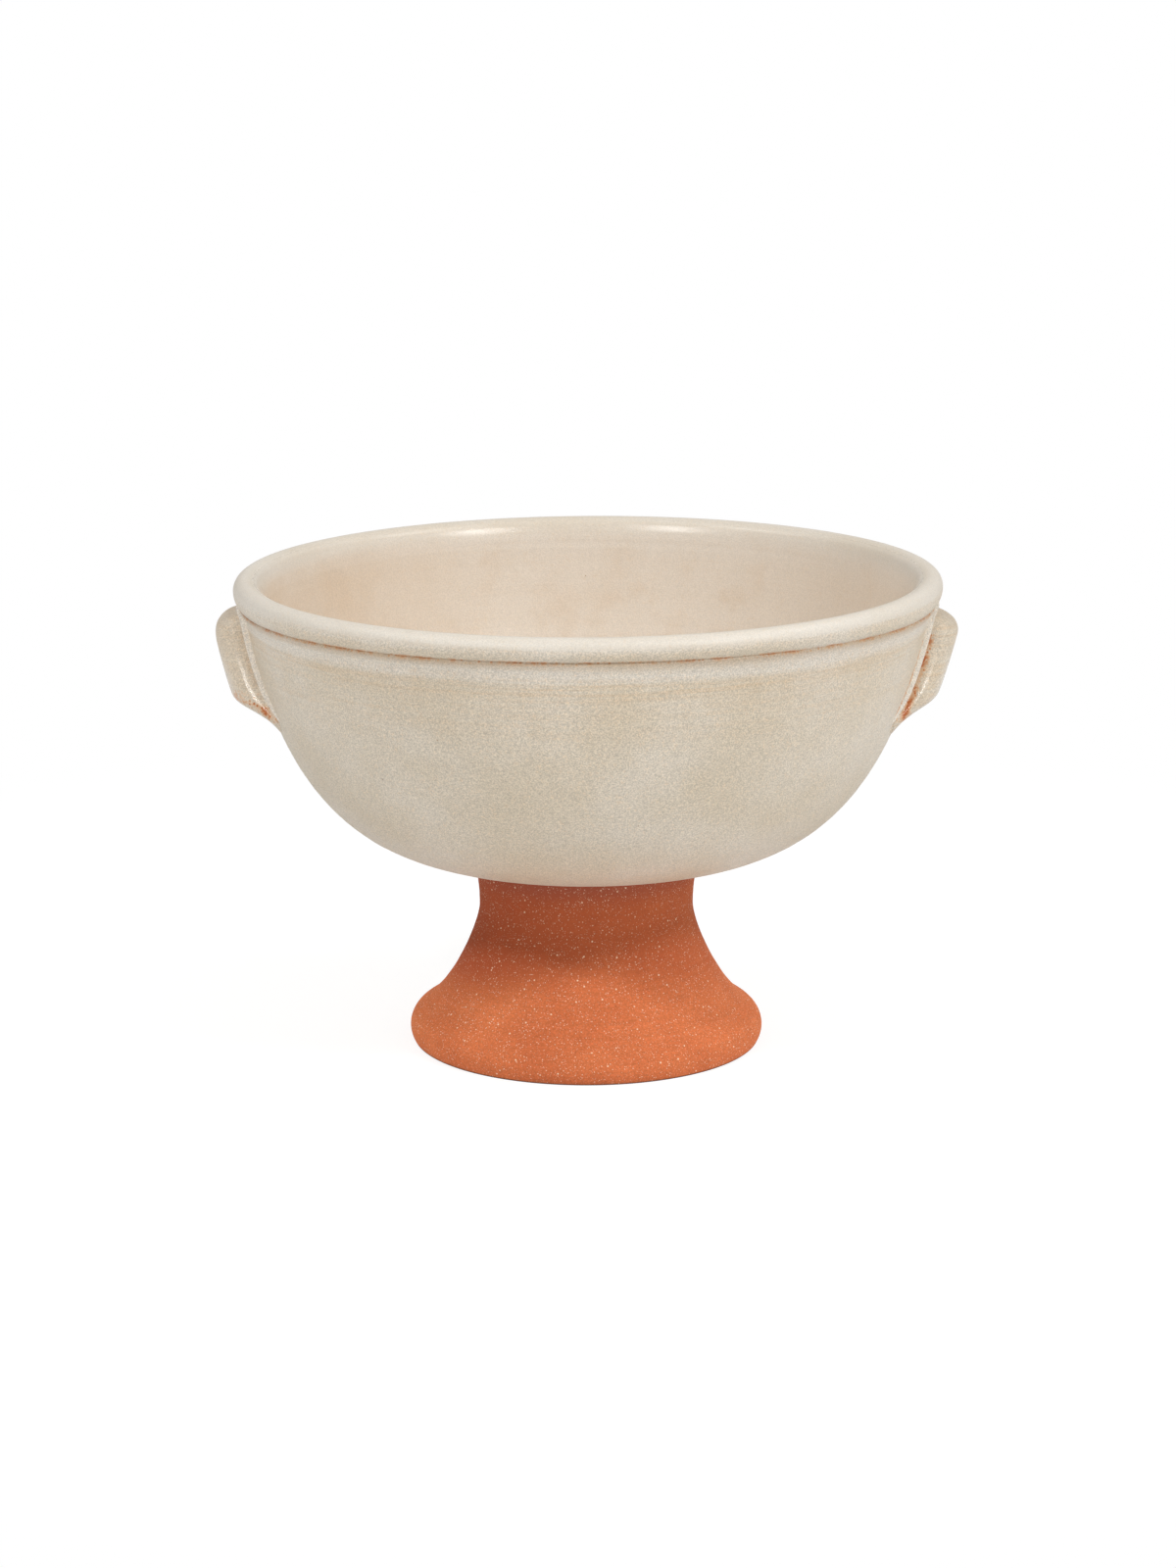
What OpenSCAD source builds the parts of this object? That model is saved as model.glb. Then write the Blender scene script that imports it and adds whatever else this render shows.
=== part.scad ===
// Footed compote bowl: a thrown bowl with a rolled rim, luted with slip to a hollow
// pedestal foot, with a solid clay lug and its two seam coils on each side.
// Millimetres. +Z is up, the table is at z = 0, and the lugs stand at +X and -X.

/* [Bowl] */
// Outside diameter over the rolled rim
rim_d = 280; // [230:1:340]
// Height from the table to the top of the rim
overall_h = 191.5; // [165:0.1:230]
// Diameter of the rim roll's section
rim_roll_d = 10.2; // [8.5:0.1:14]
// How far the wall stands in from the outside of the rim roll
wall_inset = 4; // [2.5:0.1:5]
// Thickness of the wall under the rim
wall_t = 8.2; // [6:0.1:10.5]
// Lean of the wall under the rim, in degrees from upright
wall_lean = 9; // [5:0.1:16]
// How far the wall tucks in where it meets the rim roll
crease_depth = 0.6; // [0:0.1:1.5]
// Height of the stretch of wall that tucks in
crease_h = 1.2; // [0.6:0.1:4]
// Where the shoulder inside the rim leaves the roll, in degrees from upright
shoulder_angle = 33; // [25:1:60]
// Height of the shoulder under the rim roll
shoulder_h = 3.5; // [2:0.5:15]
// Slope of the belly where it leaves the foot, in degrees from level
belly_slope = 5.8; // [3:0.1:20]
// Share of the way to the upright wall that the belly keeps that slope
belly_reach = 0.278; // [0.2:0.001:0.5]
// Thickness of the floor at its middle
floor_t = 9; // [6:0.5:13]
// Share of the way to the upright wall that the floor stays level inside
floor_reach = 0.66; // [0.5:0.01:0.75]

/* [Foot] */
// Height of the pedestal foot
foot_h = 76; // [60:1:95]
// Diameter over the roll at the base
base_d = 142.2; // [115:0.1:180]
// Radius of the base roll's section
base_roll_r = 9; // [6:0.5:12]
// Height of the middle of the base roll
base_roll_z = 5.3; // [3:0.1:5.8]
// Where the flare leaves the base roll, in degrees above level
flare_angle = 60; // [45:1:75]
// Share of the rise to the waist that the flare keeps the roll's direction
flare_start = 0.33; // [0.2:0.01:0.45]
// Share of the rise to the waist that stays upright under the waist
flare_end = 0.2; // [0.1:0.01:0.5]
// Diameter of the waist, the narrowest place
waist_d = 85.8; // [66:0.1:100]
// Distance from the top of the foot down to the waist
waist_drop = 20.4; // [12:0.1:30]
// Diameter of the collar under the bowl
collar_d = 92; // [78:1:120]
// Thickness of the foot's wall
foot_wall_t = 8; // [5:0.5:11]
// Width of the flat ring that stands on the table
base_ring_w = 12; // [8:0.5:18]
// Bevel round the base's outer lower edge
base_bevel = 0.8; // [0.2:0.1:2]

/* [Lugs] */
// Gap between the rim roll and the top of a lug
lug_drop = 5.4; // [2.5:0.1:10]
// Height of a lug, from its top to the tip of its tail
lug_h = 42.5; // [36:0.5:65]
// How far the spine of a lug would stand out of the wall at its top
lug_proud = 14; // [8:0.1:18]
// How much closer to the wall the spine of a lug comes towards its tail
lug_fall = 2.5; // [0:0.5:5]
// Height of the rounded crown at the top of a lug
lug_crown_h = 9.5; // [5:0.5:14]
// Height of the tail that runs out on the wall
lug_tail_h = 15.5; // [8:0.5:26]
// Width of a lug at its top, over the seam coils
lug_top_w = 42; // [28:1:52]
// Width of a lug at its tail, over the seam coils
lug_tail_w = 82; // [52:1:95]
// Height of the rounded corners at the top and tail of a lug
lug_corner_h = 7; // [2:0.5:12]
// Width taken off a lug at its top and at its tail by the rounded corners
lug_corner_w = 15; // [4:0.5:18]
// Thickness of a lug's edge
lug_edge_t = 0.6; // [0.4:0.1:1.2]

/* [Seam coils] */
// Width of the coil laid along each side of a lug
coil_w = 3.4; // [2:0.1:5]
// How far the coil stands out of the wall
coil_h = 2.4; // [1:0.1:4]
// Groove between the coil and the lug
coil_gap = 0.6; // [0.3:0.1:2]
// Height of the tail of the lug that the coils leave bare
coil_rise = 5; // [1:0.5:15]

/* [Joints] */
// Thickness of the slip in each luted joint
slip_t = 0.8; // [0.4:0.1:2]
// How far the slip stays back from the edge of its joint
slip_inset = 0.4; // [0.2:0.1:1]
// Clearance of a curved back from the curve that it sits on
seat_gap = 0.05; // [0.03:0.01:0.1]

/* [Hidden] */
$fn = 180;

GLAZE = "#cdc1ae";
TERRACOTTA = "#d07b50";
SLIP = "#a9603f";

// Steps along each kind of curve
CURVE_STEPS = 32;
ROLL_STEPS = 24;
LUG_ROWS = 24;
LUG_COLUMNS = 20;
COIL_RINGS = 20;
COIL_STEPS = 8;

// Half the height over which the slope of the wall is read
SLOPE_REACH = 2;
// Power that squares off the crown of a lug
CROWN_POWER = 2.7;
// Power that keeps the flare of a lug for its lower part
FLARE_POWER = 1.5;
// Power that squares off the section across a lug
SECTION_POWER = 3.4;

// The rim roll, as a circle of radius roll_r about roll_at
roll_r = rim_roll_d / 2;
roll_at = [rim_d / 2 - roll_r, overall_h - roll_r];
roll_bottom = roll_at.y - roll_r;

// The wall under the rim lies between two leaning lines
function outer_line(z) = rim_d / 2 - wall_inset - (roll_bottom - z) * tan(wall_lean);
function inner_line(z) = outer_line(z) - wall_t / cos(wall_lean);

seat_r = collar_d / 2;
seat_z = foot_h + slip_t;
floor_z = seat_z + floor_t;
wall_top_z = roll_bottom - crease_h;
crease_r = outer_line(roll_bottom) - crease_depth;

function bezier(a, b, c, d) =
    [for (i = [0:CURVE_STEPS])
        let (t = i / CURVE_STEPS, u = 1 - t)
        u * u * u * a + 3 * u * u * t * b + 3 * u * t * t * c + t * t * t * d];

function arc(at, r, from, to) =
    [for (i = [0:ROLL_STEPS])
        let (a = from + (to - from) * i / ROLL_STEPS)
        at + r * [cos(a), sin(a)]];

function reversed(list) = [for (i = [len(list) - 1:-1:0]) list[i]];

// Outside of the bowl from the edge of its seat up to the crease
outer_corner = [outer_line(seat_z), seat_z];
belly_run = belly_reach * (outer_corner.x - seat_r);
outer_wall = bezier(
    [seat_r, seat_z],
    [seat_r, seat_z] + belly_run * [cos(belly_slope), sin(belly_slope)],
    outer_corner,
    [outer_line(wall_top_z), wall_top_z]);

// Inside of the bowl from the middle of its floor up to the shoulder
inner_corner = [inner_line(floor_z), floor_z];
shoulder_low = [inner_line(roll_bottom - shoulder_h), roll_bottom - shoulder_h];
inner_wall = bezier(
    [0, floor_z],
    [floor_reach * inner_corner.x, floor_z],
    inner_corner,
    shoulder_low);

// Shoulder inside the rim, a soft curve from the wall up to the roll
shoulder_top = roll_at + roll_r * [-cos(shoulder_angle), sin(shoulder_angle)];
shoulder_handle = norm(shoulder_top - shoulder_low) / 3;
shoulder = bezier(
    shoulder_low,
    shoulder_low + shoulder_handle * [sin(wall_lean), cos(wall_lean)],
    shoulder_top - shoulder_handle * [sin(shoulder_angle), cos(shoulder_angle)],
    shoulder_top);
function every_fourth(list) = [for (i = [0:4:len(list) - 2]) list[i]];

crease_angle = -acos((crease_r - roll_at.x) / roll_r);
bowl_outline = concat(
    [[0, seat_z]],
    outer_wall,
    arc(roll_at, roll_r, crease_angle, 180 - shoulder_angle),
    reversed(every_fourth(shoulder)),
    reversed([for (i = [0:CURVE_STEPS - 1]) inner_wall[i]]));

// The foot's base roll, flare, waist and collar
base_roll_at = [base_d / 2 - base_roll_r, base_roll_z];
base_edge_angle = -asin((base_roll_z - base_bevel) / base_roll_r);
base_edge = base_roll_at + base_roll_r * [cos(base_edge_angle), sin(base_edge_angle)];
waist = [waist_d / 2, foot_h - waist_drop];
collar = [collar_d / 2, foot_h];
flare_from = base_roll_at + base_roll_r * [cos(flare_angle), sin(flare_angle)];
flare_rise = waist.y - flare_from.y;
flare = bezier(
    flare_from,
    flare_from + flare_start * flare_rise * [-sin(flare_angle), cos(flare_angle)],
    waist - [0, flare_end * flare_rise],
    waist);
// The neck above the waist opens to the collar in a quarter curve
neck = bezier(
    waist,
    waist + [0, waist_drop / 2],
    [waist.x + (collar.x - waist.x) / 2, foot_h - waist_drop / 4],
    collar);
hollow_edge = [base_edge.x - base_bevel - base_ring_w, 0];
hollow_waist = waist - [foot_wall_t, 0];
hollow = bezier(
    hollow_edge,
    hollow_edge + [0, flare_from.y],
    hollow_waist - [0, flare_rise / 2],
    hollow_waist);
function tail_of(list) = [for (i = [1:len(list) - 1]) list[i]];
foot_outline = concat(
    [hollow_edge, [base_edge.x - base_bevel, 0]],
    arc(base_roll_at, base_roll_r, base_edge_angle, flare_angle),
    tail_of(flare),
    tail_of(neck),
    [collar - [foot_wall_t, 0]],
    reversed(tail_of(hollow)));

// Radius of the wall and its outward normal, as [radial, up], at a height on the wall
wall_by_z = concat([for (p = outer_wall) [p.y, p.x]], [[roll_at.y, outer_line(roll_at.y)]]);
function wall_r(z) = lookup(z, wall_by_z);
function wall_normal(z) =
    let (rise = wall_r(z + SLOPE_REACH) - wall_r(z - SLOPE_REACH), n = [2 * SLOPE_REACH, -rise])
    n / norm(n);
// Point out from the wall by n, above wall height z, at arc length y round from +X
function off_wall(z, y, n) =
    let (r = wall_r(z), m = wall_normal(z), a = y / r * 180 / PI, q = r + n * m.x)
    [q * cos(a), q * sin(a), z + n * m.y];

// Shape of a lug, over heights on the wall from lug_bottom to lug_top
lug_top = roll_bottom - lug_drop;
lug_bottom = lug_top - lug_h;
lug_back = slip_t + seat_gap;
function smooth(t) = let (c = min(max(t, 0), 1)) c * c * (3 - 2 * c);
function crown(z) =
    let (t = min(max((z - lug_top + lug_crown_h) / lug_crown_h, 0), 1))
    pow(1 - pow(t, CROWN_POWER), 1 / CROWN_POWER);
function fall(z) = 1 - lug_fall / lug_proud * (lug_top - z) / lug_h;
function spine(z) = crown(z) * fall(z) * smooth((z - lug_bottom) / lug_tail_h);
// Half width over the coils, flaring towards the tail
function reach(z) =
    let (t = min(max((lug_top - z) / (lug_h - coil_rise), 0), 1))
    (lug_top_w + (lug_tail_w - lug_top_w) * pow(t, FLARE_POWER)) / 2;
// Half width of the lug inside its coils, with its corners rounded
function corner(depth) =
    let (t = min(max(1 - depth / lug_corner_h, 0), 1))
    (1 - sqrt(1 - t * t)) * lug_corner_w / 2;
function half_width(z) =
    reach(z) - coil_w - coil_gap - corner(lug_top - z) - corner(z - lug_bottom);

lug_rise = lug_proud - lug_back - lug_edge_t;
function lug_height(i) = lug_bottom + lug_h * sin(90 * i / LUG_ROWS);
function lug_across(j) =
    let (c = cos(180 * j / LUG_COLUMNS))
    -sign(c) * pow(abs(c), 2 / SECTION_POWER);
function lug_lift(j) = pow(sin(180 * j / LUG_COLUMNS), 2 / SECTION_POWER);
function lug_crest(z, j) = lug_back + lug_edge_t + lug_rise * spine(z) * lug_lift(j);
LUG_STRIDE = LUG_COLUMNS + 1;
LUG_BACK_START = (LUG_ROWS + 1) * LUG_STRIDE;
function lug_points(on_back) =
    [for (i = [0:LUG_ROWS])
        let (z = lug_height(i))
        for (j = [0:LUG_COLUMNS])
            off_wall(z, lug_across(j) * half_width(z), on_back ? lug_back : lug_crest(z, j))];

// Two triangles over four corners that run clockwise as seen from outside
function quad(a, b, c, d) = [[a, b, c], [a, c, d]];

module lug_solid() {
    s = LUG_STRIDE;
    k = LUG_BACK_START;
    last = LUG_ROWS * s;
    skins = [for (i = [0:LUG_ROWS - 1])
        for (j = [0:LUG_COLUMNS - 1])
            let (a = i * s + j)
            each concat(quad(a, a + s, a + s + 1, a + 1), quad(k + a, k + a + 1, k + a + s + 1, k + a + s))];
    sides = [for (i = [0:LUG_ROWS - 1])
        let (a = i * s, b = a + LUG_COLUMNS)
        each concat(quad(k + a, k + a + s, a + s, a), quad(b, b + s, k + b + s, k + b))];
    ends = [for (j = [0:LUG_COLUMNS - 1])
        let (b = last + j)
        each concat(quad(j, j + 1, k + j + 1, k + j), quad(b + 1, b, k + b, k + b + 1))];
    polyhedron(concat(lug_points(false), lug_points(true)), concat(skins, sides, ends));
}

// Slip between a lug's back and the wall, within the lug's outline
module slip_bed() {
    bed = [for (p = outer_wall) if (p.y > lug_bottom - lug_tail_h) p];
    skin = [for (p = bed) p + slip_t * wall_normal(p.y)];
    heights = [for (i = [0:LUG_ROWS]) lug_height(i) + slip_inset * (1 - 2 * i / LUG_ROWS)];
    side = [for (z = heights)
        let (r = wall_r(z))
        [r * sin(half_width(z) / r * 180 / PI) - slip_inset, z]];
    intersection() {
        rotate_extrude() polygon(concat(bed, reversed(skin)));
        rotate([90, 0, 90])
            linear_extrude(rim_d / 2)
            polygon(concat(side, reversed([for (p = side) [-p.x, p.y]])));
    }
}

// Coil of clay laid on the wall along the lug's front edge, from the crease down, where it fades
module seam_coil() {
    low = lug_bottom + coil_rise;
    thin = lug_edge_t / coil_h;
    rings = [for (i = [0:COIL_RINGS])
        let (t = i / COIL_RINGS,
             z = low + (wall_top_z - low) * t,
             swell = thin + (1 - thin) * sqrt(smooth(2 * t)))
        for (k = [0:COIL_STEPS])
            let (a = 180 * k / COIL_STEPS, y = coil_w / 2 - reach(z) + coil_w / 2 * cos(a))
            off_wall(z, y, seat_gap + coil_h * swell * sin(a))];
    s = COIL_STEPS + 1;
    last = COIL_RINGS * s;
    skin = [for (i = [0:COIL_RINGS - 1])
        for (k = [0:COIL_STEPS])
            let (a = i * s + k, b = i * s + (k + 1) % s)
            each quad(b, b + s, a + s, a)];
    caps = [for (k = [1:COIL_STEPS - 1])
        each [[0, k + 1, k], [last, last + k, last + k + 1]]];
    polyhedron(rings, concat(skin, caps));
}

module bowl() {
    color(GLAZE) rotate_extrude() polygon(bowl_outline);
}

module pedestal_foot() {
    color(TERRACOTTA) rotate_extrude() polygon(foot_outline);
}

module foot_slip_ring() {
    color(SLIP)
        translate([0, 0, foot_h])
        rotate_extrude()
        translate([collar.x - foot_wall_t + slip_inset, 0])
        square([foot_wall_t - 2 * slip_inset, slip_t]);
}

module lug_right() {
    color(GLAZE) lug_solid();
}

module lug_left() {
    color(GLAZE) mirror([1, 0, 0]) lug_solid();
}

module lug_slip_right() {
    color(SLIP) slip_bed();
}

module lug_slip_left() {
    color(SLIP) mirror([1, 0, 0]) slip_bed();
}

module seam_coil_right_front() {
    color(GLAZE) seam_coil();
}

module seam_coil_right_back() {
    color(GLAZE) mirror([0, 1, 0]) seam_coil();
}

module seam_coil_left_front() {
    color(GLAZE) mirror([1, 0, 0]) seam_coil();
}

module seam_coil_left_back() {
    color(GLAZE) mirror([1, 0, 0]) mirror([0, 1, 0]) seam_coil();
}

bowl();
pedestal_foot();
foot_slip_ring();
lug_left();
lug_right();
lug_slip_left();
lug_slip_right();
seam_coil_left_front();
seam_coil_left_back();
seam_coil_right_front();
seam_coil_right_back();
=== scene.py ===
"""Footed compote bowl: a thrown bowl in cream glaze on a bare terracotta foot.

Laid out as an add-on and run as a script. Each operator makes one piece, or one group of like
pieces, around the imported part, in metres and in the part's own frame: +Z up, the lugs at -X
and +X, and the viewer at -Y.
"""
import math

import bpy
import numpy as np
from bpy.props import FloatProperty, FloatVectorProperty, IntProperty, PointerProperty
from bpy.types import NodeSocket, Operator, Panel, PropertyGroup
from mathutils import Euler, Matrix, Vector


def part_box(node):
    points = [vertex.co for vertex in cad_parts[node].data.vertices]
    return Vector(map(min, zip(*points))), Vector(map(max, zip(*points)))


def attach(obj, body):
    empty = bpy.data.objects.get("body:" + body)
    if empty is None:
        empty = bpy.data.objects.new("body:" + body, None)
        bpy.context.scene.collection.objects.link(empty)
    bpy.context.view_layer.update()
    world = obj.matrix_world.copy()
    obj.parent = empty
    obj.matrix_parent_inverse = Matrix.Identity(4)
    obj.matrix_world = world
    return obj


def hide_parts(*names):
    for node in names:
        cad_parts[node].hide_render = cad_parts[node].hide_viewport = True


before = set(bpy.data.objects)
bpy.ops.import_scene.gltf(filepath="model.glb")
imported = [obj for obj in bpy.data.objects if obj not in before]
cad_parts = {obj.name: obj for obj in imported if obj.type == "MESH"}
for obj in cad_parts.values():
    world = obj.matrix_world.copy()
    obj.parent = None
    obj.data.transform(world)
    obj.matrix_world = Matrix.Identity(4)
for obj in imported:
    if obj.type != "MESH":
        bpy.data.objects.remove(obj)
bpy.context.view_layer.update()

bl_info = {
    "name": "Footed compote bowl",
    "version": (1, 0, 0),
    "blender": (4, 5, 0),
    "location": "View3D > Sidebar > Compote",
    "description": "Dresses the packed compote bowl with thrown shapes, glaze and clay",
    "category": "Object",
}

MM = 0.001
BODY = "root"
BOWL_LOW, BOWL_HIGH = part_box("bowl")
FOOT_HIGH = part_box("pedestal_foot")[1]
FULL_TURN = 2.0 * math.pi
FLOOR_HALF = 20.0
WHITE = (1.0, 1.0, 1.0, 1.0)


# Settings


def number(name, description, default, **choices):
    """A number that a user may change."""
    return FloatProperty(name=name, description=description, default=default, **choices)


def length(name, description, default):
    """A length in metres that a user may change."""
    return number(name, description, default, unit="LENGTH", precision=5)


def pair(name, description, left, right, unit="LENGTH"):
    """Two numbers that a user may change, for the left lug and for the right."""
    return FloatVectorProperty(
        name=name, description=description, default=(left, right), size=2, unit=unit, precision=5)


def angle(name, description, degrees):
    """An angle that a user may change, given in degrees."""
    return number(name, description, math.radians(degrees), subtype="ANGLE")


def share(name, description, default):
    """A number from 0 to 1 that a user may change."""
    return number(name, description, default, min=0.0, max=1.0, subtype="FACTOR")


def power(name, description, default):
    """A lamp's power in watts that a user may change."""
    return number(name, description, default, unit="POWER")


def steps(description, default):
    """A count of steps round a piece that a user may change."""
    return IntProperty(
        name="Segments", description=description, default=default, min=64, max=720)


def colour(name, description, default):
    """A linear colour that a user may change."""
    return FloatVectorProperty(
        name=name, description=description, default=default, size=3, min=0.0, max=1.0,
        subtype="COLOR")


class CompoteBowl(PropertyGroup):
    """Sizes of the thrown bowl."""
    rim_radius: length("Rim radius", "Outside radius over the rolled rim", BOWL_HIGH.y - 0.05 * MM)
    rim_top: length("Rim top", "Height of the rim half way along its lean", BOWL_HIGH.z - 0.93 * MM)
    roll_radius: length("Roll radius", "Radius of the rim roll's section", 4.65 * MM)
    roll_spread: number("Roll spread", "How much wider the roll is on its inner half", 1.28)
    wall_inset: length("Wall inset", "How far the wall stands in from the roll", 4.0 * MM)
    wall_thickness: length("Wall", "Thickness of the wall under the rim", 8.2 * MM)
    wall_lean: angle("Wall lean", "Lean of the wall under the rim from upright", 9.0)
    crease_depth: length("Crease depth", "How far the line under the roll cuts in", 0.4 * MM)
    crease_height: length("Crease height", "Height of the line under the roll", 0.8 * MM)
    cove_width: length("Cove width", "How far the wall bends out to meet the roll", 2.2 * MM)
    cove_height: length("Cove height", "How far down the wall that bend starts", 5.3 * MM)
    shoulder_angle: angle("Shoulder angle", "Where the inner shoulder leaves the roll", 25.0)
    shoulder_height: length("Shoulder", "Height of the shoulder under the roll", 3.5 * MM)
    seat_radius: length("Seat radius", "Radius of the flat seat on the foot", 46.0 * MM)
    seat_height: length("Seat height", "Height of the flat seat", BOWL_LOW.z)
    belly_slope: angle("Belly slope", "Slope of the belly where it leaves the foot", 5.8)
    belly_reach: share("Belly reach", "Share of the way out that the belly keeps it", 0.278)
    floor_thickness: length("Floor", "Thickness of the floor at its middle", 9.0 * MM)
    floor_reach: share("Floor reach", "Share of the way out that the floor is level", 0.66)
    tilt: angle("Tilt", "How far the rim leans off level, up at the right", 0.38)
    sway: length("Sway", "How far the rim stands off its middle, to the right", 0.7 * MM)
    side_drop: length("Side drop", "How much lower the roll hangs towards the lugs", 1.9 * MM)
    back_drop: length("Back drop", "How much lower the rim is at the back", 0.35 * MM)
    ring_depth: length("Throwing rings", "Depth of the rings left by the fingers", 0.10 * MM)
    segments: steps("Steps round the bowl", 400)


class CompoteFoot(PropertyGroup):
    """Sizes of the hollow pedestal foot."""
    base_radius: length("Base radius", "Radius over the roll at the base", FOOT_HIGH.y)
    height: length("Height", "Height of the foot", FOOT_HIGH.z)
    roll_radius: length("Roll radius", "Radius of the base roll's section", 9.0 * MM)
    roll_height: length("Roll height", "Height of the middle of the base roll", 5.3 * MM)
    bevel: length("Bevel", "Bevel round the outer lower edge", 0.8 * MM)
    flare_angle: angle("Flare angle", "Where the flare leaves the base roll", 60.0)
    flare_start: share("Flare start", "Share of the rise that keeps the roll's line", 0.33)
    flare_end: share("Flare end", "Share of the rise that stays upright", 0.2)
    waist_radius: length("Waist radius", "Radius of the narrowest place", 42.9 * MM)
    waist_drop: length("Waist drop", "Distance from the top down to the waist", 20.4 * MM)
    collar_radius: length("Collar radius", "Radius under the bowl", 46.0 * MM)
    wall_thickness: length("Wall", "Thickness of the foot's wall", 8.0 * MM)
    ring_width: length("Ring width", "Width of the ring on the table", 12.0 * MM)
    turning_depth: length("Turning marks", "Depth of the marks left by turning", 0.05 * MM)
    segments: steps("Steps round the foot", 320)


class CompoteLugs(PropertyGroup):
    """Sizes of the lugs and of the coils along their seams."""
    top: pair("Top", "Height on the wall of the top of a lug", 176.6 * MM, 175.9 * MM)
    height: length("Height", "From the top of a lug to the tip of its tail", 42.9 * MM)
    proud: pair("Proud", "How far out of the wall the spine starts", 13.5 * MM, 13.72 * MM)
    fall: pair("Fall", "Share of that lost towards the tail", 0.085, 0.225, "NONE")
    crown: pair("Crown", "Height of the rounded crown", 12.4 * MM, 6.6 * MM)
    crown_power: pair("Crown power", "How square the crown is; 2 is round", 3.0, 2.4, "NONE")
    tail: pair("Tail", "Height of the tail that runs out on the wall", 14.2 * MM, 15.6 * MM)
    top_width: length("Top width", "Width at the top, over the coils", 42.0 * MM)
    tail_width: length("Tail width", "Width at the tail, over the coils", 82.0 * MM)
    corner_height: length("Corner height", "Height of the rounded corners", 7.0 * MM)
    corner_width: length("Corner width", "Width taken off by the corners", 15.0 * MM)
    edge: length("Edge", "Thickness of a lug's edge over the slip", 1.45 * MM)
    fullness: number("Fullness", "How square a lug's section is; 2 is round", 3.4, min=2.0)
    coil_width: length("Coil width", "Width of a seam coil", 3.4 * MM)
    coil_height: length("Coil height", "How far a coil stands out of the wall", 2.4 * MM)
    coil_gap: length("Groove", "Groove between a coil and its lug", 0.6 * MM)
    coil_rise: length("Bare tail", "Height of the tail that the coils leave bare", 5.0 * MM)


class CompoteGlaze(PropertyGroup):
    """Colours and finish of the glaze."""
    cream: colour("Cream", "The glaze where it is of middling thickness", (0.60, 0.525, 0.415))
    pale: colour("Pale", "The glaze where it lies thick", (0.725, 0.69, 0.64))
    tan: colour("Tan", "The glaze where it runs thin", (0.60, 0.46, 0.31))
    # Blush and peach stand partly for bounce light inside the bowl, painted in.
    blush: colour("Blush", "The glaze inside, flashed warm in the kiln", (0.735, 0.657, 0.57))
    peach: colour("Peach", "The warmest patches inside", (0.665, 0.53, 0.40))
    amber: colour("Amber", "Where the clay's iron tints the glaze", (0.60, 0.33, 0.16))
    rust: colour("Rust", "Where the clay's iron breaks through", (0.43, 0.125, 0.033))
    # Umber also paints the shade below the rim's crease.
    umber: colour("Umber", "Iron specks", (0.26, 0.13, 0.06))
    satin: share("Satin", "Roughness of the satin surface outside", 0.44)
    gloss: share("Gloss", "Roughness where the glaze lies smooth", 0.19)


class CompoteClay(PropertyGroup):
    """Colours and finish of the bare clay and of the slip."""
    bright: colour("Bright clay", "Bare clay where it fired lightest", (0.74, 0.224, 0.087))
    deep: colour("Deep clay", "Bare clay where it fired darkest", (0.61, 0.164, 0.063))
    grog: colour("Grog", "Pale grains of fired clay", (0.93, 0.75, 0.56))
    # The neck colour also paints the bowl's shadow on the neck.
    neck: colour("Neck", "Bare clay at the neck, fired darker", (0.44, 0.095, 0.037))
    # The collar colour is painted shade close under the bowl.
    collar: colour("Collar", "Bare clay close under the bowl", (0.31, 0.088, 0.06))
    # The pit colour is painted shade in the pits.
    pit_shade: colour("Pit", "Small pits in the clay", (0.16, 0.05, 0.025))
    # The edge colour paints the shadow where the foot meets the table.
    edge: colour("Edge", "Clay rubbed dark round the foot's lower edge", (0.05, 0.022, 0.014))
    slip: colour("Slip", "Slip in the luted joints", (0.40, 0.13, 0.06))
    roughness: share("Roughness", "Roughness of the bare clay", 0.85)


class CompoteStage(PropertyGroup):
    """Camera, lamps and floor."""
    camera: FloatVectorProperty(
        name="Camera", description="Where the camera stands", size=3,
        default=(0.0007, -1.554, 0.471), subtype="TRANSLATION", unit="LENGTH")
    look_down: angle("Look down", "How far the camera looks down", 13.28)
    roll: angle("Roll", "How far the camera is turned about its line of sight", 0.0)
    lens: number("Lens", "Focal length in millimetres", 91.6, unit="CAMERA")
    aim: length("Aim", "Height that the lamps point at", 0.12)
    right_lamp: power("Right lamp", "Power of the softbox on the right", 12.7)
    left_lamp: power("Left lamp", "Power of the softbox on the left", 10.6)
    right_panel: power("Right panel", "Power of the wide panel at the right", 7.5)
    left_panel: power("Left panel", "Power of the wide panel at the left", 7.5)
    side_rise: angle("Side rise", "The side panels' height as an angle", 55.0)
    panel_side: length("Panel side", "Side of each square side panel", 0.8)
    right_turn: angle("Right turn", "Right lamp's turn from the camera's side", 46.6)
    left_turn: angle("Left turn", "Left lamp's turn from the camera's side", -37.6)
    right_rise: angle("Right rise", "Right lamp's height as an angle", 39.5)
    left_rise: angle("Left rise", "Left lamp's height as an angle", 42.5)
    lamp_distance: length("Lamp distance", "From the lamps to the bowl", 2.0)
    right_side: length("Right side", "Side of the square softbox on the right", 0.26)
    left_side: length("Left side", "Side of the square softbox on the left", 0.18)
    ambient: number("Ambient", "Strength of the soft light from all sides", 0.54)
    overhead: number("Overhead", "Strength of the soft light from above", 0.40)
    lopsided: share("Lopsided", "How much of the soft light moves from left to right", 0.25)


class CompoteSettings(PropertyGroup):
    """All settings of the compote."""
    bowl: PointerProperty(type=CompoteBowl)
    foot: PointerProperty(type=CompoteFoot)
    lugs: PointerProperty(type=CompoteLugs)
    glaze: PointerProperty(type=CompoteGlaze)
    clay: PointerProperty(type=CompoteClay)
    stage: PointerProperty(type=CompoteStage)


# Curves and meshes


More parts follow.
